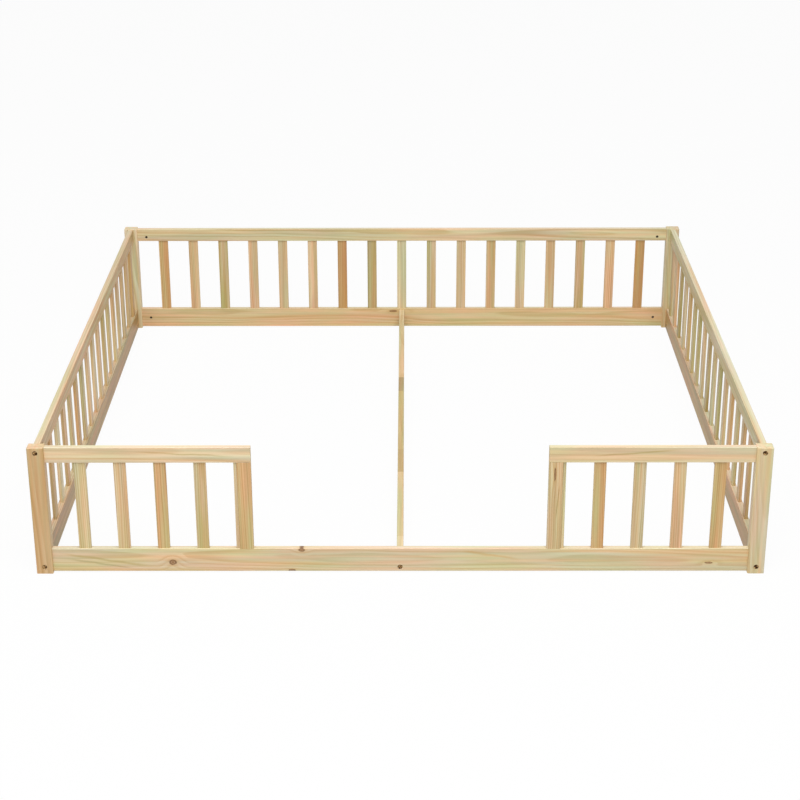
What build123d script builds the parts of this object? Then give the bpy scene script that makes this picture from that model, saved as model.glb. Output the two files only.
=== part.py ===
from build123d import *
import os

os.makedirs("parts", exist_ok=True)

# All sizes in millimetres. The origin is on the floor at the centre of the frame,
# X runs along the front, the doorway is towards -Y and Z is up.

# The whole frame
frame_width = 2119.0
frame_depth = 2028.0
frame_height = 402.0

# Corner posts, and the boards that run between them
post_width = 48.0
post_depth = 36.0
post_round = 3.0
post_top_round = 2.4
board = 19.0
board_round = 1.5
rail_end_round = 1.2
top_rail_height = 47.0
bottom_rail_height = 73.0
post_above_rail = 2.0
rail_off_floor = 4.0

# Upright slats, housed in the rails at both ends
slat_width = 35.0
slat_thickness = 10.0
slat_round = 1.0
slat_housing = 10.0
slats_per_fence = 17
slats_beside_doorway = 5

# Doorway at the front, with an end post at each side
doorway_width = 850.0
end_post_width = 40.0

# Bolts, and the barrel nuts that they meet inside the boards
bolt_r = 3.0
bolt_hole_r = 3.5
bolt_head_r = 7.0
bolt_head_thickness = 2.5
bolt_head_sink = 0.8
head_seat_r = 7.5
socket_r = 2.3
socket_depth = 2.0
nut_setback = 34.0
nut_r = 4.9
nut_hole_r = 5.0
nut_length = 13.0
nut_bore_r = 3.05
nut_slot_width = 1.4
nut_slot_depth = 1.6
bolt_past_nut = 7.0
hole_past_nut = 9.0

# Bolt heights above the floor at the bottom and top rails, staggered so that
# two bolts cross inside a post without meeting
side_bolt_z = (21.5, 386.0)
cross_bolt_z = (40.0, 368.5)
beam_bolt_z = 17.5

# Locating dowels beside the bolts
dowel_r = 4.0
end_dowel_r = 3.0
dowel_clearance = 0.05
end_clearance = 1.0
dowel_in_post = 12.0
dowel_in_board = 18.0
end_dowel_depth = 15.0
side_dowel_z = (54.0, 365.0)
cross_dowel_z = (62.0, 387.5)
beam_dowel_z = 50.0

# Places worked out from the sizes above
half_width = frame_width / 2
half_depth = frame_depth / 2
post_x = half_width - post_width / 2
post_y = half_depth - post_depth / 2
span_x = half_width - post_width
span_y = half_depth - post_depth
inner_x = post_x - board / 2
inner_y = post_y - board / 2
outer_y = post_y + board / 2
top_rail_foot = frame_height - post_above_rail - top_rail_height
bottom_rail_top = rail_off_floor + bottom_rail_height
rail_feet = (rail_off_floor, top_rail_foot)
rail_heights = (bottom_rail_height, top_rail_height)
fence_ends = (bottom_rail_top, top_rail_foot)
fence_opening = top_rail_foot - bottom_rail_top
housing_z = (bottom_rail_top - slat_housing / 2, top_rail_foot + slat_housing / 2)
slat_pitch = (2 * span_x + slat_width) / (slats_per_fence + 1)
slat_offsets = [(i - (slats_per_fence - 1) / 2) * slat_pitch for i in range(slats_per_fence)]
front_offsets = {-1: slat_offsets[:slats_beside_doorway], 1: slat_offsets[-slats_beside_doorway:]}
door_x = doorway_width / 2
end_post_x = door_x + end_post_width / 2
groove_floor_x = front_offsets[1][0] - slat_width / 2
end_dowel_x = (door_x + groove_floor_x) / 2
nut_hole_depth = (board + nut_length) / 2
head_seat_depth = bolt_head_thickness + bolt_head_sink
bolt_hole_depth = nut_setback + hole_past_nut
dowel_hole_r = dowel_r + dowel_clearance
end_dowel_hole_r = end_dowel_r + dowel_clearance

left, right = -1, 1
front, back = -1, 1
sides = {left: "left", right: "right"}
ends = {front: "front", back: "back"}
levels = ("bottom", "top")
joints = [(side, end, level) for side in sides for end in ends for level in (0, 1)]


# Planes that lie on a drilled face and look out of the hole, along X or Y
def facing_x(sign, x, y, z):
    return Plane(origin=(x, y, z), x_dir=(0, 1, 0), z_dir=(sign, 0, 0))


def facing_y(sign, x, y, z):
    return Plane(origin=(x, y, z), x_dir=(1, 0, 0), z_dir=(0, sign, 0))


def save(piece, name):
    piece.label = name
    export_step(piece, f"parts/{name}.step")
    print(name, round(piece.volume / 1000, 1), "cm3")


# Where every bolt head, barrel nut and dowel goes, by side, end and level
side_heads = {(s, e, n): facing_y(e, s * post_x, e * half_depth, side_bolt_z[n]) for s, e, n in joints}
cross_heads = {(s, e, n): facing_x(s, s * half_width, e * post_y, cross_bolt_z[n]) for s, e, n in joints}
beam_heads = {e: facing_y(e, 0, e * outer_y, beam_bolt_z) for e in ends}
side_nuts = {
    (s, e, n): facing_x(-s, s * inner_x, e * (span_y - nut_setback), side_bolt_z[n]) for s, e, n in joints
}
cross_nuts = {
    (s, e, n): facing_y(-e, s * (span_x - nut_setback), e * inner_y, cross_bolt_z[n]) for s, e, n in joints
}
beam_nuts = {e: facing_x(left, -board / 2, e * (inner_y - nut_setback), beam_bolt_z) for e in ends}
side_dowels = {(s, e, n): facing_y(e, s * post_x, e * span_y, side_dowel_z[n]) for s, e, n in joints}
cross_dowels = {(s, e, n): facing_x(s, s * span_x, e * post_y, cross_dowel_z[n]) for s, e, n in joints}
beam_dowels = {e: facing_y(e, 0, e * inner_y, beam_dowel_z) for e in ends}

# Corner posts, drilled both ways
for side in sides:
    for end in ends:
        side_seats = [side_heads[side, end, level] for level in (0, 1)]
        cross_seats = [cross_heads[side, end, level] for level in (0, 1)]
        dowel_ends = [dowels[side, end, level] for dowels in (side_dowels, cross_dowels) for level in (0, 1)]
        with BuildPart() as post:
            with BuildSketch(Plane.XY):
                with Locations((side * post_x, end * post_y)):
                    RectangleRounded(post_width, post_depth, post_round)
            extrude(amount=frame_height)
            fillet(post.faces().sort_by(Axis.Z)[-1].edges(), radius=post_top_round)
            with Locations(side_seats):
                CounterBoreHole(bolt_hole_r, head_seat_r, head_seat_depth, post_depth)
            with Locations(cross_seats):
                CounterBoreHole(bolt_hole_r, head_seat_r, head_seat_depth, post_width)
            with Locations(dowel_ends):
                Cylinder(dowel_hole_r, 2 * dowel_in_post, mode=Mode.SUBTRACT)
        save(post.part, f"{ends[end]}_{sides[side]}_post")

# Side rails, two on each side
for side in sides:
    for level, level_name in enumerate(levels):
        height = rail_heights[level]
        rail_z = rail_feet[level] + height / 2
        bolt_ends = [side_heads[side, end, level].offset(-post_depth) for end in ends]
        dowel_ends = [side_dowels[side, end, level] for end in ends]
        nut_faces = [side_nuts[side, end, level] for end in ends]
        with BuildPart() as side_rail:
            with BuildSketch(Plane.XZ.offset(-span_y)):
                with Locations((side * post_x, rail_z)):
                    RectangleRounded(board, height, board_round)
            extrude(amount=2 * span_y)
            with Locations([(side * post_x, y, housing_z[level]) for y in slat_offsets]):
                Box(slat_thickness, slat_width, slat_housing, mode=Mode.SUBTRACT)
            with Locations(bolt_ends):
                Hole(bolt_hole_r, bolt_hole_depth)
            with Locations(dowel_ends):
                Hole(dowel_hole_r, dowel_in_board)
            with Locations(nut_faces):
                Hole(nut_hole_r, nut_hole_depth)
        save(side_rail.part, f"{sides[side]}_{level_name}_rail")

# Rails across the full width: two at the back and the low one under the doorway
for end, level in ((back, 0), (back, 1), (front, 0)):
    height = rail_heights[level]
    rail_z = rail_feet[level] + height / 2
    bolt_ends = [cross_heads[side, end, level].offset(-post_width) for side in sides]
    dowel_ends = [cross_dowels[side, end, level] for side in sides]
    nut_faces = [cross_nuts[side, end, level] for side in sides]
    offsets = slat_offsets if end == back else front_offsets[left] + front_offsets[right]
    with BuildPart() as cross_rail:
        with BuildSketch(Plane.YZ.offset(-span_x)):
            with Locations((end * post_y, rail_z)):
                RectangleRounded(board, height, board_round)
        extrude(amount=2 * span_x)
        with Locations([(x, end * post_y, housing_z[level]) for x in offsets]):
            Box(slat_width, slat_thickness, slat_housing, mode=Mode.SUBTRACT)
        with Locations(bolt_ends):
            Hole(bolt_hole_r, bolt_hole_depth)
        with Locations(dowel_ends):
            Hole(dowel_hole_r, dowel_in_board)
        with Locations(nut_faces):
            Hole(nut_hole_r, nut_hole_depth)
        if level == 0:
            with Locations(beam_heads[end]):
                CounterBoreHole(bolt_hole_r, head_seat_r, head_seat_depth, board)
            with Locations(beam_dowels[end]):
                Cylinder(dowel_hole_r, 2 * dowel_in_post, mode=Mode.SUBTRACT)
        if end == front:
            with Locations([(side * end_dowel_x, end * post_y, bottom_rail_top) for side in sides]):
                Hole(end_dowel_hole_r, end_dowel_depth)
    save(cross_rail.part, f"{ends[end]}_{levels[level]}_rail")

# Short top rails of the front, from a corner post to the doorway
for side in sides:
    with BuildPart() as front_top_rail:
        with BuildSketch(Plane.YZ.offset(side * door_x)):
            with Locations((front * post_y, top_rail_foot + top_rail_height / 2)):
                RectangleRounded(board, top_rail_height, board_round)
        extrude(amount=side * (span_x - door_x))
        doorway_end = front_top_rail.faces().sort_by(Axis.X)[0 if side == right else -1]
        fillet(doorway_end.edges(), radius=rail_end_round)
        with Locations([(x, front * post_y, housing_z[1]) for x in front_offsets[side]]):
            Box(slat_width, slat_thickness, slat_housing, mode=Mode.SUBTRACT)
        with Locations(cross_heads[side, front, 1].offset(-post_width)):
            Hole(bolt_hole_r, bolt_hole_depth)
        with Locations(cross_dowels[side, front, 1]):
            Hole(dowel_hole_r, dowel_in_board)
        with Locations(cross_nuts[side, front, 1]):
            Hole(nut_hole_r, nut_hole_depth)
        with Locations((side * end_dowel_x, front * post_y, top_rail_foot)):
            Cylinder(end_dowel_hole_r, 2 * end_dowel_depth, mode=Mode.SUBTRACT)
    save(front_top_rail.part, f"front_{sides[side]}_top_rail")

# End posts beside the doorway, grooved for the slat that each one half hides
for side in sides:
    with BuildPart() as end_post:
        with BuildSketch(Plane.XY.offset(bottom_rail_top)):
            with Locations((side * end_post_x, front * post_y)):
                RectangleRounded(end_post_width, board, board_round)
            with Locations((side * front_offsets[right][0], front * post_y)):
                Rectangle(slat_width, slat_thickness, mode=Mode.SUBTRACT)
        extrude(amount=fence_opening)
        with Locations([(side * end_dowel_x, front * post_y, z) for z in fence_ends]):
            Cylinder(end_dowel_hole_r, 2 * end_dowel_depth, mode=Mode.SUBTRACT)
    save(end_post.part, f"{sides[side]}_end_post")

# Centre beam, standing on the floor between the front and back bottom rails
with BuildPart() as centre_beam:
    with BuildSketch(Plane.XZ.offset(-inner_y)):
        with Locations((0, bottom_rail_height / 2)):
            RectangleRounded(board, bottom_rail_height, board_round)
    extrude(amount=2 * inner_y)
    with Locations([beam_heads[end].offset(-board) for end in ends]):
        Hole(bolt_hole_r, bolt_hole_depth)
    with Locations([beam_dowels[end] for end in ends]):
        Hole(dowel_hole_r, dowel_in_board)
    with Locations([beam_nuts[end] for end in ends]):
        Hole(nut_hole_r, nut_hole_depth)
save(centre_beam.part, "centre_beam")

# Back and front slats, one piece each
fence_slats = [(f"back_slat_{i + 1:02d}", x, back * post_y) for i, x in enumerate(slat_offsets)]
for side in sides:
    for i, x in enumerate(front_offsets[side]):
        fence_slats.append((f"front_{sides[side]}_slat_{i + 1}", x, front * post_y))
for slat_name, slat_x, slat_y in fence_slats:
    with BuildPart() as slat:
        with BuildSketch(Plane.XY.offset(bottom_rail_top - slat_housing)):
            with Locations((slat_x, slat_y)):
                RectangleRounded(slat_width, slat_thickness, slat_round)
        extrude(amount=fence_opening + 2 * slat_housing)
    save(slat.part, slat_name)

# Side slats, a row of separate pieces on each side
for side in sides:
    with BuildPart() as side_slats:
        with BuildSketch(Plane.XY.offset(bottom_rail_top - slat_housing)):
            with Locations([(side * post_x, y) for y in slat_offsets]):
                RectangleRounded(slat_thickness, slat_width, slat_round)
        extrude(amount=fence_opening + 2 * slat_housing)
    save(side_slats.part, f"{sides[side]}_slats")

# Bolts with flat heads and hexagon sockets, one group for each length
for name, heads, reach in (
    ("side_rail_bolts", side_heads, post_depth),
    ("cross_rail_bolts", cross_heads, post_width),
    ("beam_bolts", beam_heads, board),
):
    seats = [plane.offset(-bolt_head_sink) for plane in heads.values()]
    shank_length = reach + nut_setback + bolt_past_nut - bolt_head_sink
    with BuildPart() as bolts:
        with Locations(seats):
            Cylinder(bolt_r, shank_length, align=(Align.CENTER, Align.CENTER, Align.MAX))
            Cylinder(bolt_head_r, bolt_head_thickness, align=(Align.CENTER, Align.CENTER, Align.MAX))
        with BuildSketch(*seats):
            RegularPolygon(socket_r, 6)
        extrude(amount=-socket_depth, mode=Mode.SUBTRACT)
    save(bolts.part, name)

# Barrel nuts, cross bored for the bolt and slotted on the face that shows
for name, nuts in (
    ("side_rail_barrel_nuts", side_nuts),
    ("cross_rail_barrel_nuts", cross_nuts),
    ("beam_barrel_nuts", beam_nuts),
):
    centres = [plane.offset(-board / 2) for plane in nuts.values()]
    slots = [plane.offset(nut_length / 2) for plane in centres]
    with BuildPart() as barrel_nuts:
        with Locations(centres):
            Cylinder(nut_r, nut_length)
            Cylinder(nut_bore_r, 3 * nut_r, rotation=(0, 90, 0), mode=Mode.SUBTRACT)
        with Locations(slots):
            Box(2.5 * nut_r, nut_slot_width, 2 * nut_slot_depth, mode=Mode.SUBTRACT)
    save(barrel_nuts.part, name)

# Dowels that keep each rail and the beam from turning about its bolt
dowel_planes = [*side_dowels.values(), *cross_dowels.values(), *beam_dowels.values()]
dowel_length = dowel_in_post + dowel_in_board - 2 * end_clearance
with BuildPart() as rail_dowels:
    with Locations([plane.offset(dowel_in_post - end_clearance) for plane in dowel_planes]):
        Cylinder(dowel_r, dowel_length, align=(Align.CENTER, Align.CENTER, Align.MAX))
save(rail_dowels.part, "rail_dowels")

# Dowels at the foot and the head of each end post
with BuildPart() as end_post_dowels:
    with Locations([(side * end_dowel_x, front * post_y, z) for side in sides for z in fence_ends]):
        Cylinder(end_dowel_r, 2 * (end_dowel_depth - end_clearance))
save(end_post_dowels.part, "end_post_dowels")
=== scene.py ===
import bpy
import math
from mathutils import Matrix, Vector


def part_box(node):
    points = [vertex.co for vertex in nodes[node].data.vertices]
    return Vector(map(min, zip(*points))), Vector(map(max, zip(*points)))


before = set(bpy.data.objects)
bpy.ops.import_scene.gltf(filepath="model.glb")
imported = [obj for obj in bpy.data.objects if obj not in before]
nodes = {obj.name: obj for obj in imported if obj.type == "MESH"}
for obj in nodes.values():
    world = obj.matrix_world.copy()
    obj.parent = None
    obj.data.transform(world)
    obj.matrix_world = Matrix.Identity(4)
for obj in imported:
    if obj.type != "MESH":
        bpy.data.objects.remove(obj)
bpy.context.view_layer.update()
print("frame loaded:", len(nodes), "pieces")


# Small helpers for node trees

def addNode(tree, kind, **settings):
    node = tree.nodes.new("ShaderNode" + kind)
    for name, value in settings.items():
        setattr(node, name, value)
    return node


def feed(tree, socket, value):
    if isinstance(value, bpy.types.NodeSocket):
        tree.links.new(value, socket)
    else:
        socket.default_value = value


def calc(tree, operation, *values):
    node = addNode(tree, "Math", operation=operation)
    for socket, value in zip(node.inputs, values):
        feed(tree, socket, value)
    return node.outputs[0]


def moveScale(tree, vector, scale, shift=(0, 0, 0)):
    node = addNode(tree, "VectorMath", operation="MULTIPLY_ADD")
    for socket, part in zip(node.inputs, (vector, scale, shift)):
        feed(tree, socket, part)
    return node.outputs[0]


def ease(tree, value, start, end, low=0.0, high=1.0):
    # a smooth step from low at start to high at end
    node = addNode(tree, "MapRange", interpolation_type="SMOOTHSTEP")
    for socket, part in zip(node.inputs, (value, start, end, low, high)):
        feed(tree, socket, part)
    return node.outputs[0]


def paint(tree, share, under, over, kind="MIX"):
    node = addNode(tree, "Mix", data_type="RGBA", blend_type=kind)
    feed(tree, node.inputs[0], share)
    feed(tree, node.inputs[6], under)
    feed(tree, node.inputs[7], over)
    return node.outputs[2]


def tint(tree, share, mask, under, pale, deep):
    # multiplies by a pale tint where mask is 0 and by a deep one where it is 1
    return paint(tree, share, under, paint(tree, mask, pale, deep), "MULTIPLY")


def noise(tree, vector, detail=2.0, roughness=0.5, colour=False):
    node = addNode(tree, "TexNoise")
    node.inputs["Scale"].default_value = 1.0
    node.inputs["Detail"].default_value = detail
    node.inputs["Roughness"].default_value = roughness
    feed(tree, node.inputs["Vector"], vector)
    return node.outputs[1 if colour else 0]


def split(tree, vector):
    node = addNode(tree, "SeparateXYZ")
    feed(tree, node.inputs[0], vector)
    return node.outputs[:]


def join(tree, x, y, z):
    node = addNode(tree, "CombineXYZ")
    for socket, part in zip(node.inputs, (x, y, z)):
        feed(tree, socket, part)
    return node.outputs[0]


def howFar(tree, first, second):
    # length of the pair of values taken as a flat vector
    squares = [calc(tree, "MULTIPLY", value, value) for value in (first, second)]
    return calc(tree, "SQRT", calc(tree, "ADD", *squares))


def aroundZero(tree, value, amount, base):
    # base moved by a noise value, as much up as down
    return calc(tree, "MULTIPLY_ADD", calc(tree, "SUBTRACT", value, 0.5), amount, base)


def newGroup(name, inputs, outputs):
    # inputs are (label, kind, value), outputs are (label, kind)
    tree = bpy.data.node_groups.new(name, "ShaderNodeTree")
    for label, kind, value in inputs:
        socket = tree.interface.new_socket(label, in_out="INPUT", socket_type="NodeSocket" + kind)
        socket.default_value = value
    for label, kind in outputs:
        tree.interface.new_socket(label, in_out="OUTPUT", socket_type="NodeSocket" + kind)
    given = tree.nodes.new("NodeGroupInput").outputs
    result = tree.nodes.new("NodeGroupOutput").inputs
    return tree, given, result


def useGroup(tree, group, **values):
    # keyword ringWidth feeds the socket "Ring Width"
    node = tree.nodes.new("ShaderNodeGroup")
    node.node_tree = group
    labels = {label.replace(" ", "").lower(): label for label in node.inputs.keys()}
    for name, value in values.items():
        feed(tree, node.inputs[labels[name.lower()]], value)
    return node.outputs


def linear(colour):
    # screen values 0 to 255 as linear light, with alpha
    parts = [c / 255 for c in colour]
    return tuple(c / 12.92 if c < 0.04045 else ((c + 0.055) / 1.055) ** 2.4 for c in parts) + (1.0,)


# Growth rings: rings round a pith line that lies beside or behind the board, so every face of
# the board cuts the same rings. Board is (along, across, through) in metres.
ringLook = {
    "bendScale": (1.7, 9, 9),     # bends of the rings per metre
    "unevenScale": 0.31,          # how often wide and narrow years take turns
    "uneven": 1.6,                # how far a year can be early or late, in years
    "darkStart": 0.25,            # shares of a year
    "darkFull": 0.85,
    "darkFade": 0.9,
    "faintestYear": 0.25,
    "bandScale": 0.17,            # slow change from pale to deep groups of years
    "bandEdges": (0.36, 0.64),
}


def buildRingGroup(look):
    tree, given, result = newGroup(
        "growthRings",
        [("Board", "Vector", (0, 0, 0)), ("Seed", "Float", 0.0), ("Ring Width", "Float", 0.005),
         ("Pith Across", "Float", 0.02), ("Pith Depth", "Float", 0.05), ("Tilt", "Float", 0.01),
         ("Wander", "Float", 0.01), ("Swirl", "Float", 0.0)],
        [("Latewood", "Float"), ("Band", "Float")])
    seed = calc(tree, "MULTIPLY", given["Seed"], 17.3)
    seedShift = join(tree, seed, calc(tree, "MULTIPLY", seed, 0.7), seed)
    along, across, through = split(tree, given["Board"])
    bendPoint = moveScale(tree, given["Board"], look["bendScale"], seedShift)
    bend = split(tree, noise(tree, bendPoint, 2.0, 0.45, True))
    side = aroundZero(tree, bend[0], given["Wander"], across)
    side = calc(tree, "SUBTRACT", side, given["Pith Across"])
    side = calc(tree, "MULTIPLY_ADD", along, given["Tilt"], side)
    back = aroundZero(tree, bend[1], given["Wander"], through)
    back = calc(tree, "ADD", back, given["Pith Depth"])
    fromPith = calc(tree, "ADD", howFar(tree, side, back), given["Swirl"])
    years = calc(tree, "DIVIDE", fromPith, given["Ring Width"])
    unevenPoint = join(tree, calc(tree, "MULTIPLY", years, look["unevenScale"]), seed, 0.0)
    years = calc(tree, "MULTIPLY_ADD", noise(tree, unevenPoint, 1.0), look["uneven"], years)
    share = calc(tree, "FRACT", years)
    dark = calc(tree, "MULTIPLY", ease(tree, share, look["darkStart"], look["darkFull"]),
                ease(tree, share, look["darkFade"], 1.0, 1.0, 0.0))
    whichYear = addNode(tree, "TexWhiteNoise", noise_dimensions="1D")
    feed(tree, whichYear.inputs["W"], calc(tree, "ADD", calc(tree, "FLOOR", years), seed))
    strength = calc(tree, "MULTIPLY_ADD", whichYear.outputs["Value"],
                    1.0 - look["faintestYear"], look["faintestYear"])
    feed(tree, result["Latewood"], calc(tree, "MULTIPLY", dark, strength))
    bandPoint = join(tree, calc(tree, "MULTIPLY", years, look["bandScale"]),
                     calc(tree, "ADD", seed, 5.0), 0.0)
    feed(tree, result["Band"], ease(tree, noise(tree, bandPoint, 1.0), *look["bandEdges"]))
    return tree


# Fibre, streaks and slow tone changes, all drawn out along the board. Each has its scale along
# and across per metre, detail, roughness and the edges that its noise is eased between.
fibreLook = {
    "Fibre": ((9, 700, 700), 3.0, 0.6, None),
    "Streak": ((2.2, 120, 120), 3.0, 0.55, (0.3, 0.7)),
    "Drift": ((4.0, 22, 22), 2.0, 0.5, (0.3, 0.7)),
    "Cloud": ((1.6, 75, 75), 1.0, 0.5, (0.3, 0.7)),
    "Pore": ((55, 1500, 1500), 1.0, 0.5, (0.68, 0.8)),
}


def buildFibreGroup(look):
    tree, given, result = newGroup(
        "woodFibre", [("Board", "Vector", (0, 0, 0)), ("Seed", "Float", 0.0)],
        [(label, "Float") for label in look])
    seed = calc(tree, "MULTIPLY", given["Seed"], 11.9)
    seedShift = join(tree, seed, seed, calc(tree, "MULTIPLY", seed, 1.3))
    for label, (scale, detail, roughness, edges) in look.items():
        value = noise(tree, moveScale(tree, given["Board"], scale, seedShift), detail, roughness)
        feed(tree, result[label], ease(tree, value, *edges) if edges else value)
    return tree


# Tone drift: a board's two tones run into each other in long streaks
driftLook = {"scale": (2.4, 40, 40), "edges": (0.36, 0.64)}


def buildDriftGroup(look):
    tree, given, result = newGroup(
        "toneDrift",
        [("Board", "Vector", (0, 0, 0)), ("Seed", "Float", 0.0),
         ("Main", "Color", (1, 1, 1, 1)), ("Second", "Color", (1, 1, 1, 1))],
        [("Tone", "Color")])
    shift = join(tree, calc(tree, "MULTIPLY", given["Seed"], 3.7),
                 calc(tree, "MULTIPLY", given["Seed"], 1.9), 0.0)
    share = noise(tree, moveScale(tree, given["Board"], look["scale"], shift), 1.0)
    share = ease(tree, share, *look["edges"])
    feed(tree, result["Tone"], paint(tree, share, given["Main"], given["Second"]))
    return tree


# One knot: a dark heart, a rim of bark-brown and a push on the rings round it. Edges are in
# shares of the knot's own length and width.
knotLook = {
    "wobbleScale": (160, 160, 160),
    "wobble": 0.7,
    "heart": (0.35, 1.0),
    "rimIn": (0.55, 0.95),
    "rimOut": (0.95, 1.6),
    "glow": (0.6, 3.2),
    "swirl": (0.3, 6.0),
}


def buildKnotGroup(look):
    tree, given, result = newGroup(
        "pineKnot",
        [("Board", "Vector", (0, 0, 0)), ("Along", "Float", 0.0), ("Across", "Float", 0.0),
         ("Length", "Float", 0.02), ("Width", "Float", 0.01), ("Reach", "Float", 0.01)],
        [("Heart", "Float"), ("Rim", "Float"), ("Glow", "Float"), ("Swirl", "Float")])
    along, across = split(tree, given["Board"])[:2]
    wobble = split(tree, noise(tree, moveScale(tree, given["Board"], look["wobbleScale"]), 2.0, 0.6, True))
    far = calc(tree, "DIVIDE", calc(tree, "SUBTRACT", along, given["Along"]), given["Length"])
    far = aroundZero(tree, wobble[0], look["wobble"], far)
    off = calc(tree, "DIVIDE", calc(tree, "SUBTRACT", across, given["Across"]), given["Width"])
    off = aroundZero(tree, wobble[1], look["wobble"], off)
    away = howFar(tree, far, off)
    feed(tree, result["Heart"], ease(tree, away, *look["heart"], 1.0, 0.0))
    feed(tree, result["Rim"], calc(tree, "MULTIPLY", ease(tree, away, *look["rimIn"]),
                                   ease(tree, away, *look["rimOut"], 1.0, 0.0)))
    feed(tree, result["Glow"], ease(tree, away, *look["glow"], 1.0, 0.0))
    swirl = calc(tree, "MULTIPLY", ease(tree, away, *look["swirl"], 1.0, 0.0), given["Reach"])
    feed(tree, result["Swirl"], swirl)
    return tree


# A vein: one drawn line of darker or warmer wood from a start to an end on the face
veinLook = {
    "swayScale": (14, 30, 30),
    "swayShift": (3.1, 0, 0),
    "sway": 2.0,                  # in widths of the vein
    "fadeIn": (0.0, 0.25),        # shares of its length
    "fadeOut": (0.7, 1.0),
}


def buildVeinGroup(look):
    tree, given, result = newGroup(
        "woodVein",
        [("Board", "Vector", (0, 0, 0)), ("Start Along", "Float", 0.0), ("Start Across", "Float", 0.0),
         ("End Along", "Float", 0.1), ("End Across", "Float", 0.0), ("Width", "Float", 0.004)],
        [("Line", "Float")])
    along, across = split(tree, given["Board"])[:2]
    sway = noise(tree, moveScale(tree, given["Board"], look["swayScale"], look["swayShift"]), 2.0, 0.5)
    span = calc(tree, "SUBTRACT", given["End Along"], given["Start Along"])
    share = calc(tree, "DIVIDE", calc(tree, "SUBTRACT", along, given["Start Along"]), span)
    rise = calc(tree, "SUBTRACT", given["End Across"], given["Start Across"])
    middle = calc(tree, "MULTIPLY_ADD", rise, share, given["Start Across"])
    middle = aroundZero(tree, sway, calc(tree, "MULTIPLY", given["Width"], look["sway"]), middle)
    off = calc(tree, "ABSOLUTE", calc(tree, "SUBTRACT", across, middle))
    line = ease(tree, calc(tree, "DIVIDE", off, given["Width"]), 0.0, 1.0, 1.0, 0.0)
    ends = calc(tree, "MULTIPLY", ease(tree, share, *look["fadeIn"]),
                ease(tree, share, *look["fadeOut"], 1.0, 0.0))
    feed(tree, result["Line"], calc(tree, "MULTIPLY", line, ends))
    return tree


# The finish: tone, rings, streaks, knots and a painted sheen on upward faces made into one colour,
# roughness and height.
# Tints multiply the tone by the first colour where the mask is 0 and by the second where it is 1.
finishLook = {
    "paintedSheenTone": (247, 236, 216),  # painted sheen: the pale colour that upward faces are lightened towards
    "paintedSheenFacing": (0.6, 0.95),
    "endGrainFacing": (0.75, 0.95),
    "tints": {
        "Drift": ((0.94, 1.02, 0.94, 1), (1.06, 0.97, 0.98, 1)),
        "Cloud": ((0.95, 1.03, 1.02, 1), (1.06, 0.955, 0.90, 1)),
    },
    "grain": {
        "Band": ((1.05, 1.06, 1.09, 1), (0.94, 0.92, 0.86, 1)),
        "Streak": ((1.08, 1.09, 1.13, 1), (0.89, 0.87, 0.81, 1)),
        "Latewood": ((1.03, 1.05, 1.08, 1), (0.78, 0.64, 0.44, 1)),
    },
    "fibre": ((1.05, 1.06, 1.07, 1), (0.93, 0.91, 0.88, 1)),
    "fibreEdges": (0.3, 0.7),
    "fibreShare": 0.7,
    "stains": {                   # colour multiplied in, and its share
        "Pore": ((0.72, 0.60, 0.42, 1), 0.35),
        "Glow": ((0.93, 0.78, 0.52, 1), 0.45),
    },
    "rim": (122, 84, 50),
    "heart": (142, 100, 62),
    "heartShare": 0.9,
    "endGrain": (0.96, 0.90, 0.80, 1),
    "endGrainShare": 0.6,
    "roughness": (0.40, {"Fibre": 0.16, "Latewood": -0.06, "End Grain": 0.14}),
    "height": (0.5, {"Fibre": -0.5, "Latewood": 0.35, "Pore": -0.7, "Rim": -0.8}),
}


def addUp(tree, masks, base, weights):
    total = base
    for label, weight in weights.items():
        total = calc(tree, "MULTIPLY_ADD", masks[label], weight, total)
    return total


def buildFinishGroup(look):
    tree, given, result = newGroup(
        "oiledPine",
        [("Tone", "Color", (1, 1, 1, 1)), ("Latewood", "Float", 0.0), ("Band", "Float", 0.5),
         ("Fibre", "Float", 0.5), ("Streak", "Float", 0.5), ("Drift", "Float", 0.5),
         ("Cloud", "Float", 0.5), ("Pore", "Float", 0.0), ("Contrast", "Float", 0.5),
         ("Tint", "Float", 0.5), ("Heart", "Float", 0.0), ("Rim", "Float", 0.0),
         ("Glow", "Float", 0.0), ("Painted Sheen", "Float", 0.0), ("Facing Along", "Float", 0.0),
         ("Facing Up", "Float", 0.0)],
        [("Color", "Color"), ("Roughness", "Float"), ("Height", "Float")])
    endGrain = ease(tree, calc(tree, "ABSOLUTE", given["Facing Along"]), *look["endGrainFacing"])
    # painted sheen: upward faces are lightened towards a pale colour, as a gloss would look
    bleach = ease(tree, given["Facing Up"], *look["paintedSheenFacing"], 0.0, given["Painted Sheen"])
    colour = paint(tree, bleach, given["Tone"], linear(look["paintedSheenTone"]))
    for label, (pale, deep) in look["tints"].items():
        colour = tint(tree, given["Tint"], given[label], colour, pale, deep)
    for label, (pale, deep) in look["grain"].items():
        colour = tint(tree, given["Contrast"], given[label], colour, pale, deep)
    fibre = ease(tree, given["Fibre"], *look["fibreEdges"])
    colour = tint(tree, look["fibreShare"], fibre, colour, *look["fibre"])
    for label, (stain, share) in look["stains"].items():
        colour = paint(tree, calc(tree, "MULTIPLY", given[label], share), colour, stain, "MULTIPLY")
    colour = paint(tree, given["Rim"], colour, linear(look["rim"]))
    heart = calc(tree, "MULTIPLY", given["Heart"], look["heartShare"])
    colour = paint(tree, heart, colour, linear(look["heart"]))
    endShare = calc(tree, "MULTIPLY", endGrain, look["endGrainShare"])
    feed(tree, result["Color"], paint(tree, endShare, colour, look["endGrain"], "MULTIPLY"))
    masks = {label: given[label] for label in ("Fibre", "Latewood", "Pore", "Rim")}
    masks["End Grain"] = endGrain
    feed(tree, result["Roughness"], addUp(tree, masks, *look["roughness"]))
    feed(tree, result["Height"], addUp(tree, masks, *look["height"]))
    return tree


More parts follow.
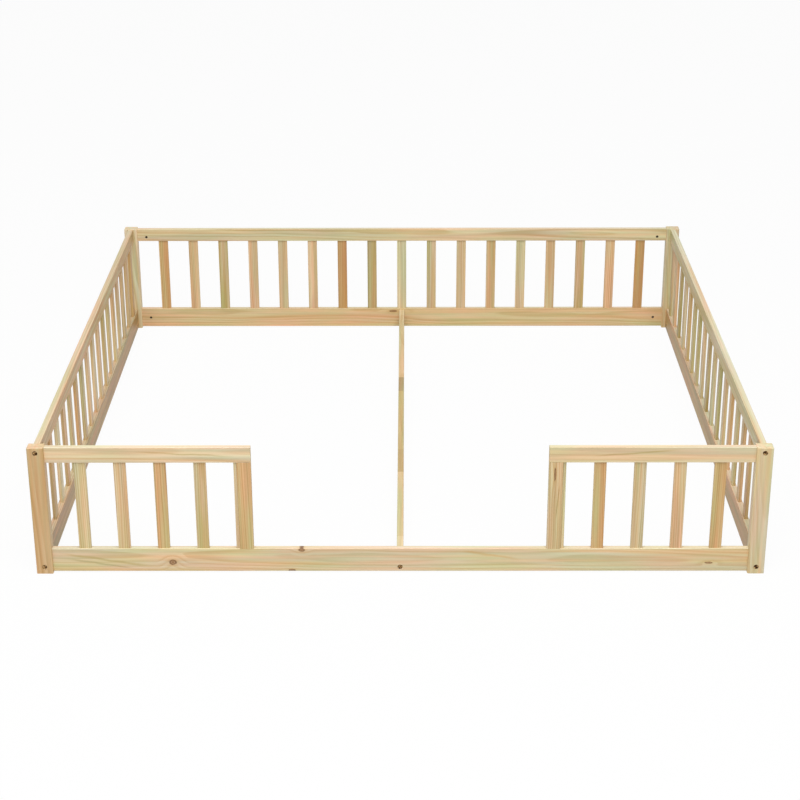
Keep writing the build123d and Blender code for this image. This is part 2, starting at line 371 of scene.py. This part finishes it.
ringGroup = buildRingGroup(ringLook)
fibreGroup = buildFibreGroup(fibreLook)
driftGroup = buildDriftGroup(driftLook)
knotGroup = buildKnotGroup(knotLook)
veinGroup = buildVeinGroup(veinLook)
finishGroup = buildFinishGroup(finishLook)
print("wood groups built")


# Tones of the pine, as seen on screen
woodTones = {
    "linen": (226, 212, 184),
    "cream": (224, 206, 168),
    "putty": (208, 192, 160),
    "butter": (214, 193, 150),
    "peach": (222, 192, 154),
    "sand": (208, 183, 142),
    "rose": (205, 176, 140),
    "straw": (204, 178, 129),
    "honey": (206, 170, 122),
    "amber": (200, 158, 104),
    "umber": (187, 152, 104),
    "fern": (196, 178, 124),
    "olive": (188, 168, 117),
    "moss": (176, 159, 116),
    "bark": (166, 138, 90),
}

# Kinds of pine board: the main tone and the one that drifts in along it
woodKinds = {
    "white": ("cream", "linen"),
    "blush": ("butter", "peach"),
    "pale": ("cream", "putty"),
    "soft": ("butter", "putty"),
    "rosy": ("peach", "rose"),
    "warm": ("sand", "honey"),
    "golden": ("honey", "straw"),
    "green": ("fern", "putty"),
    "olive": ("moss", "olive"),
    "brown": ("amber", "umber"),
    # a darker kind that stands for the shade the side bottom rails' inner faces lie in: painted shade
    "paintedShade": ("umber", "bark"),
}

# A light coat of wax over the wood, and how much painted sheen lightens upward faces
woodSurface = {
    "coatWeight": 0.06,
    "coatRoughness": 0.35,
    "specular": 0.35,
    "bleach": 0.45,               # how much painted sheen lightens upward faces, where a board doesn't say
    "bumpStrength": 0.35,
    "bumpDistance": 0.0004,
}


def toneSteps(tree, share, stops):
    # stops are (place from 0 to 1, tone name), each tone holding until the next place
    node = addNode(tree, "ValToRGB")
    ramp = node.color_ramp
    ramp.interpolation = "CONSTANT"
    places = [place for place, tone in stops]
    ramp.elements[0].position = places[0]
    ramp.elements[1].position = places[-1]
    for place in places[1:-1]:
        ramp.elements.new(place)
    for element, (place, tone) in zip(ramp.elements, stops):
        element.color = linear(woodTones[tone])
    feed(tree, node.inputs["Fac"], share)
    return node.outputs[0]


def addBump(tree, shader, height, strength, distance):
    bump = addNode(tree, "Bump")
    bump.inputs["Strength"].default_value = strength
    bump.inputs["Distance"].default_value = distance
    feed(tree, bump.inputs["Height"], height)
    feed(tree, shader.inputs["Normal"], bump.outputs[0])


def newMaterial(name):
    material = bpy.data.materials.new(name)
    material.use_nodes = True
    tree = material.node_tree
    return material, tree, tree.nodes["Principled BSDF"]


def pineMaterial(name, spec):
    # spec: turn (axes as along, across, through), centre and length in metres, seed, grain,
    # and a kind of pine, the glued blocks of a board, or a row of slats
    material, tree, shader = newMaterial(name)
    place = addNode(tree, "TexCoord").outputs
    fromCentre = moveScale(tree, place["Object"], (1, 1, 1), tuple(-c for c in spec["centre"]))
    axes = split(tree, fromCentre)
    alongAxis, acrossAxis, throughAxis = ("xyz".index(letter) for letter in spec["turn"])
    along, across, through = axes[alongAxis], axes[acrossAxis], axes[throughAxis]
    if "row" in spec:
        # a row of slats in one piece: each slat draws its own kind of pine
        pitch, kinds = spec["row"]
        which = calc(tree, "FLOOR", calc(tree, "ADD", calc(tree, "DIVIDE", across, pitch), 0.5))
        across = calc(tree, "SUBTRACT", across, calc(tree, "MULTIPLY", which, pitch))
        through = calc(tree, "MULTIPLY_ADD", which, 0.71, through)
        draw = addNode(tree, "TexWhiteNoise", noise_dimensions="1D")
        feed(tree, draw.inputs["W"], calc(tree, "ADD", which, spec["seed"]))
        main, second = (
            toneSteps(tree, draw.outputs["Value"],
                      [(i / len(kinds), woodKinds[kind][part]) for i, kind in enumerate(kinds)])
            for part in (0, 1))
    elif "blocks" in spec:
        alongShare = calc(tree, "ADD", calc(tree, "DIVIDE", along, spec["length"]), 0.5)
        main = second = toneSteps(tree, alongShare, spec["blocks"])
    else:
        main, second = (linear(woodTones[tone]) for tone in woodKinds[spec["kind"]])
    board = join(tree, along, across, through)
    tone = useGroup(tree, driftGroup, board=board, seed=spec["seed"], main=main, second=second)["Tone"]

    swirl, heart, rim, glow = 0.0, 0.0, 0.0, 0.0
    for knotAlong, knotAcross, knotLength, knotWidth, reach in spec.get("knots", []):
        out = useGroup(tree, knotGroup, board=board, along=knotAlong, across=knotAcross,
                       length=knotLength, width=knotWidth, reach=reach)
        swirl = calc(tree, "ADD", swirl, out["Swirl"])
        heart = calc(tree, "MAXIMUM", heart, out["Heart"])
        rim = calc(tree, "MAXIMUM", rim, out["Rim"])
        glow = calc(tree, "MAXIMUM", glow, out["Glow"])
    grain = spec["grain"]
    rings = useGroup(tree, ringGroup, board=board, seed=spec["seed"], ringWidth=grain["ringWidth"],
                     pithAcross=grain["pithAcross"], pithDepth=grain["pithDepth"], tilt=grain["tilt"],
                     wander=grain["wander"], swirl=swirl)
    fibre = useGroup(tree, fibreGroup, board=board, seed=spec["seed"])
    for start, startAcross, end, endAcross, veinWidth, toneName, share in spec.get("veins", []):
        line = useGroup(tree, veinGroup, board=board, startAlong=start, startAcross=startAcross,
                        endAlong=end, endAcross=endAcross, width=veinWidth)["Line"]
        tone = paint(tree, calc(tree, "MULTIPLY", line, share), tone, linear(woodTones[toneName]))

    facing = split(tree, place["Normal"])
    finish = useGroup(
        tree, finishGroup, tone=tone, latewood=rings["Latewood"], band=rings["Band"],
        fibre=fibre["Fibre"], streak=fibre["Streak"], drift=fibre["Drift"], cloud=fibre["Cloud"],
        pore=fibre["Pore"], contrast=grain["contrast"], tint=grain["tint"], heart=heart, rim=rim,
        # painted sheen on upward faces
        glow=glow, bleach=spec.get("bleach", woodSurface["bleach"]), facingAlong=facing[alongAxis],
        facingUp=facing[2])
    feed(tree, shader.inputs["Base Color"], finish["Color"])
    feed(tree, shader.inputs["Roughness"], finish["Roughness"])
    shader.inputs["Coat Weight"].default_value = woodSurface["coatWeight"]
    shader.inputs["Coat Roughness"].default_value = woodSurface["coatRoughness"]
    shader.inputs["Specular IOR Level"].default_value = woodSurface["specular"]
    addBump(tree, shader, finish["Height"], woodSurface["bumpStrength"], woodSurface["bumpDistance"])
    return material


def dress(name, turn, grain, seed, **extras):
    # one board of the frame gets its own wood
    low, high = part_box(name)
    spec = {"turn": turn, "centre": (low + high) / 2, "length": (high - low)["xyz".index(turn[0])],
            "grain": grain, "seed": seed, **extras}
    nodes[name].data.materials[0] = pineMaterial(name + "_pine", spec)


def grainOf(base, **changes):
    return {**base, **changes}


# Grain of each sort of board: sizes in metres, then the shares of grain and tint
railGrain = {"ringWidth": 0.0075, "pithAcross": 0.02, "pithDepth": 0.045, "tilt": 0.012,
             "wander": 0.03, "contrast": 0.65, "tint": 1.0}
slatGrain = {"ringWidth": 0.006, "pithAcross": 0.05, "pithDepth": 0.02, "tilt": 0.02,
             "wander": 0.022, "contrast": 0.9, "tint": 1.0}
postGrain = {"ringWidth": 0.009, "pithAcross": 0.02, "pithDepth": 0.05, "tilt": 0.07,
             "wander": 0.035, "contrast": 0.6, "tint": 1.0}
dowelGrain = grainOf(slatGrain, contrast=0.2, tint=0.2)

# Rails. A knot is (along, across, length, width, push on the rings); a vein is
# (start along, start across, end along, end across, width, tone, share)
rails = {
    "front_bottom_rail": dict(
        turn="xzy", kind="soft", seed=1.0, grain=grainOf(railGrain, pithAcross=0.01, pithDepth=0.05),
        knots=[(-0.662, -0.0075, 0.0085, 0.0065, 0.012), (0.899, -0.0095, 0.009, 0.0025, 0.005),
               (-0.286, 0.0325, 0.007, 0.004, 0.006), (-0.315, -0.0335, 0.008, 0.003, 0.004)],
        veins=[(-1.0, 0.024, -0.70, -0.024, 0.006, "olive", 0.8),
               (-0.98, 0.006, -0.76, -0.03, 0.005, "moss", 0.7),
               (0.17, 0.03, 0.36, 0.0, 0.006, "honey", 0.8)]),
    "front_left_top_rail": dict(
        turn="xzy", kind="pale", seed=2.0, grain=grainOf(railGrain, ringWidth=0.009),
        veins=[(-0.05, 0.012, 0.26, -0.006, 0.004, "olive", 0.7)]),
    "front_right_top_rail": dict(
        turn="xzy", kind="pale", seed=3.0, grain=grainOf(railGrain, ringWidth=0.010),
        veins=[(-0.18, -0.004, 0.1, 0.018, 0.004, "olive", 0.8)]),
    "back_top_rail": dict(turn="xzy", kind="pale", seed=4.0, grain=grainOf(railGrain, tilt=0.02)),
    "back_bottom_rail": dict(
        turn="xzy", kind="blush", seed=5.0, grain=railGrain,
        knots=[(-0.033, 0.026, 0.012, 0.003, 0.006)]),
    # the side top rails get less painted sheen on their upward faces
    "left_top_rail": dict(turn="yzx", kind="warm", bleach=0.38, seed=6.0, grain=railGrain),
    "right_top_rail": dict(turn="yzx", kind="green", bleach=0.38, seed=7.0, grain=railGrain),
    # the side bottom rails take the darker kind as painted shade, so their outer faces are darker too
    "left_bottom_rail": dict(turn="yzx", kind="paintedShade", seed=8.0, grain=railGrain),
    "right_bottom_rail": dict(turn="yzx", kind="paintedShade", seed=9.0, grain=railGrain),
    # the beam is glued up from blocks, each from its place along the beam; it gets no painted sheen on top
    "centre_beam": dict(
        turn="yxz", bleach=0.0, seed=10.0, grain=grainOf(railGrain, ringWidth=0.006, pithDepth=0.03),
        blocks=[(0, "cream"), (0.034, "butter"), (0.256, "olive"), (0.341, "fern"),
                (0.589, "moss"), (0.65, "butter"), (0.965, "cream")]),
}
for name, spec in rails.items():
    dress(name, **spec)
print("rails dressed")

# Corner posts and the posts beside the doorway
posts = {
    "front_left_post": dict(kind="warm", seed=21.0, grain=postGrain),
    "front_right_post": dict(kind="soft", seed=22.0, grain=postGrain),
    "back_left_post": dict(kind="white", seed=23.0, grain=postGrain),
    "back_right_post": dict(kind="soft", seed=24.0, grain=postGrain),
    "left_end_post": dict(kind="golden", seed=25.0, grain=slatGrain),
    "right_end_post": dict(
        kind="rosy", seed=26.0, grain=slatGrain, knots=[(0.101, -0.002, 0.016, 0.0022, 0.004)],
        veins=[(0.075, 0.012, -0.05, 0.003, 0.0025, "umber", 1.0)]),
}
for name, spec in posts.items():
    dress(name, "zxy", **spec)
print("posts dressed")

# Front and back slats from left to right, the kind of pine that each looks like
slats = {
    "back_slat_%02d": ("golden rosy green rosy soft rosy brown olive pale "
                       "green soft warm soft rosy green rosy brown"),
    "front_left_slat_%d": "soft soft golden green pale",
    "front_right_slat_%d": "pale golden soft rosy golden",
}
slatLook = {"firstSeed": 30.0, "pithAcross": 0.05, "tilt": 0.012}
everySlat = [(label % (number + 1), kind) for label, kinds in slats.items()
             for number, kind in enumerate(kinds.split())]
for count, (name, kind) in enumerate(everySlat):
    side = 1 if count % 2 else -1      # the pith lies left and right in turn
    grain = grainOf(slatGrain, pithAcross=slatLook["pithAcross"] * side, tilt=slatLook["tilt"] * side)
    dress(name, "zxy", grain, slatLook["firstSeed"] + count, kind=kind)

# Side slats: each draws one of its row's kinds
slatRows = {
    "left_slats": dict(seed=60.0, kinds="soft rosy warm golden pale green"),
    "right_slats": dict(seed=61.0, kinds="green olive warm golden soft"),
}
slatPitch = 0.114333
rowGrain = grainOf(slatGrain, contrast=1.4)
for name, row in slatRows.items():
    dress(name, "zyx", rowGrain, row["seed"], row=(slatPitch, row["kinds"].split()))
print("slats dressed")


# Hardware: metal in dark and pale noise patches, the pale patches on the brass bolts a painted highlight,
# and plain dowels

def buildMetalPatchGroup():
    tree, given, result = newGroup(
        "metalPatchesAndHighlights",
        [("Point", "Vector", (0, 0, 0)), ("Scale", "Float", 200.0), ("Bright", "Color", (1, 1, 1, 1)),
         ("Dark Patch", "Color", (0, 0, 0, 1)), ("Smooth", "Float", 0.3)],
        [("Color", "Color"), ("Roughness", "Float"), ("Height", "Float")])
    scale = join(tree, given["Scale"], given["Scale"], given["Scale"])
    grime = noise(tree, moveScale(tree, given["Point"], scale), 3.0, 0.6)
    feed(tree, result["Color"], paint(tree, ease(tree, grime, 0.38, 0.54), given["Bright"], given["Dark Patch"]))
    roughest = calc(tree, "ADD", given["Smooth"], 0.25)
    feed(tree, result["Roughness"], ease(tree, grime, 0.2, 0.8, given["Smooth"], roughest))
    feed(tree, result["Height"], grime)
    return tree


metals = {
    # dark brass bolt heads whose pale brass noise patches are painted highlights
    "antique_brass": dict(bright=(206, 168, 116), grime=(74, 50, 32), smooth=0.30, scale=210,
                          pieces=("side_rail_bolts", "cross_rail_bolts", "beam_bolts")),
    "grey_zinc": dict(bright=(112, 104, 92), grime=(58, 50, 42), smooth=0.38, scale=260,
                      pieces=("side_rail_barrel_nuts", "cross_rail_barrel_nuts", "beam_barrel_nuts")),
}
metalBump = {"strength": 0.2, "distance": 0.0002}
metalPatchGroup = buildMetalPatchGroup()
for name, metal in metals.items():
    material, tree, shader = newMaterial(name)
    finish = useGroup(tree, metalPatchGroup, point=addNode(tree, "TexCoord").outputs["Object"],
                      scale=metal["scale"], bright=linear(metal["bright"]),
                      grime=linear(metal["grime"]), smooth=metal["smooth"])
    feed(tree, shader.inputs["Base Color"], finish["Color"])
    feed(tree, shader.inputs["Roughness"], finish["Roughness"])
    shader.inputs["Metallic"].default_value = 1.0
    addBump(tree, shader, finish["Height"], **metalBump)
    for piece in metal["pieces"]:
        nodes[piece].data.materials[0] = material
for name, seed in (("rail_dowels", 70.0), ("end_post_dowels", 71.0)):
    dress(name, "yxz", dowelGrain, seed, kind="golden")
print("hardware dressed")


# Studio

studio = {
    "ambient": 0.37,              # world light on the object
    "floorWhite": 0.80,
    "floorGlow": 0.95,            # share of plain white that the camera sees on the floor
    "floorRoughness": 0.9,
    "floorReach": 40.0,           # metres from the middle to each edge
    "lampWatts": 420,
    "lampPlace": (0.0, -3.5, 6.0),
    "lampSize": 5.0,
}


def seenDirectly(tree):
    # 1 for rays from the camera, and for what gloss and glass show
    path = addNode(tree, "LightPath")
    seen = calc(tree, "MAXIMUM", path.outputs["Is Camera Ray"], path.outputs["Is Glossy Ray"])
    return calc(tree, "MAXIMUM", seen, path.outputs["Is Transmission Ray"])


world = bpy.data.worlds.new("studio")
bpy.context.scene.world = world
world.use_nodes = True
worldTree = world.node_tree
background = worldTree.nodes["Background"]
background.inputs["Color"].default_value = (1, 1, 1, 1)
worldLight = ease(worldTree, seenDirectly(worldTree), 0.0, 1.0, studio["ambient"], 1.0)
feed(worldTree, background.inputs["Strength"], worldLight)

edge = studio["floorReach"]
floorMesh = bpy.data.meshes.new("floor")
corners = [(-edge, -edge, 0), (edge, -edge, 0), (edge, edge, 0), (-edge, edge, 0)]
floorMesh.from_pydata(corners, [], [(0, 1, 2, 3)])
floor = bpy.data.objects.new("floor", floorMesh)
bpy.context.scene.collection.objects.link(floor)
floorMaterial, tree, floorShader = newMaterial("pale_floor")
floorMesh.materials.append(floorMaterial)
floorShader.inputs["Base Color"].default_value = (studio["floorWhite"],) * 3 + (1,)
floorShader.inputs["Roughness"].default_value = studio["floorRoughness"]
floorShader.inputs["Specular IOR Level"].default_value = 0.0
glow = addNode(tree, "Emission")
glow.inputs["Color"].default_value = (1, 1, 1, 1)
glow.inputs["Strength"].default_value = 1.0
mixed = addNode(tree, "MixShader")
feed(tree, mixed.inputs[0], calc(tree, "MULTIPLY", seenDirectly(tree), studio["floorGlow"]))
tree.links.new(floorShader.outputs[0], mixed.inputs[1])
tree.links.new(glow.outputs[0], mixed.inputs[2])
tree.links.new(mixed.outputs[0], tree.nodes["Material Output"].inputs["Surface"])

lamp = bpy.data.lights.new("softbox", "AREA")
lamp.shape = "SQUARE"
lamp.size = studio["lampSize"]
lamp.energy = studio["lampWatts"]
softbox = bpy.data.objects.new("softbox", lamp)
softbox.location = studio["lampPlace"]
aim = math.atan2(-studio["lampPlace"][1], studio["lampPlace"][2])   # towards the frame's middle
softbox.rotation_euler = (aim, 0, 0)
bpy.context.scene.collection.objects.link(softbox)
print("studio built")

# Camera
view = {
    "place": (0.02140, -5.78486, 2.60592),
    "down": 23.3023,              # degrees below level
    "pan": 0.00430,               # radians
    "roll": -0.00242,             # radians
    "lens": 83.538,               # millimetres
    "sensor": 36.0,               # millimetres
}
cameraData = bpy.data.cameras.new("camera")
cameraData.lens = view["lens"]
cameraData.sensor_width = view["sensor"]
camera = bpy.data.objects.new("camera", cameraData)
turn = (Matrix.Rotation(view["pan"], 4, "Z") @ Matrix.Rotation(math.radians(90 - view["down"]), 4, "X")
        @ Matrix.Rotation(view["roll"], 4, "Z"))
camera.matrix_world = Matrix.Translation(view["place"]) @ turn
bpy.context.scene.collection.objects.link(camera)
bpy.context.scene.camera = camera
bpy.context.scene.view_settings.view_transform = "Standard"
print("camera set")
